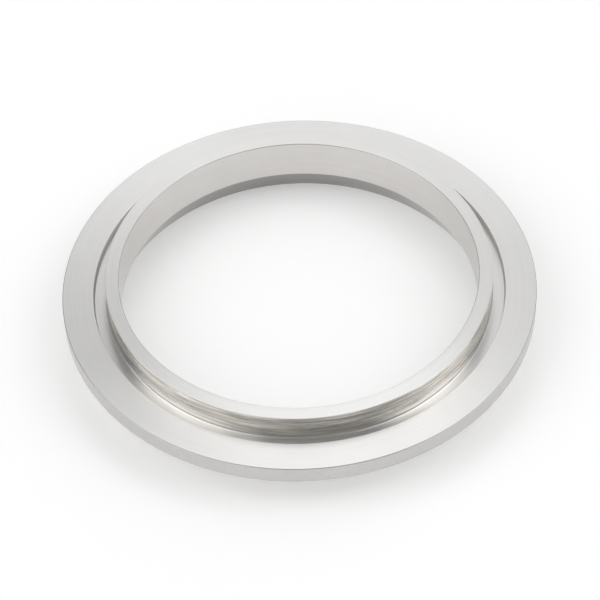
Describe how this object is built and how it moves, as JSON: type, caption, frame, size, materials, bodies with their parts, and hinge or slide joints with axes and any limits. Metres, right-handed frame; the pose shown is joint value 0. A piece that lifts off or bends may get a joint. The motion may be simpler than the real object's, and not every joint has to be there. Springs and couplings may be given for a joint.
{
  "type": "v-band flange",
  "caption": "Turned ring flange for a weld-on tube: flat sealing face with gasket groove, raised pilot, clamp rim with tapered back, and a short weld neck.",
  "frame": {"origin": "centre of the weld end, on the flange axis, in the plane that the flange stands on", "axes": "+Z along the flange axis, from the weld end towards the sealing face and pilot"},
  "size_m": [0.09, 0.09, 0.0134],
  "materials": {
    "stainless": "fine-turned satin stainless steel"
  },
  "bodies": {
    "root": {"flange_ring": "stainless"}
  },
  "joints": []
}
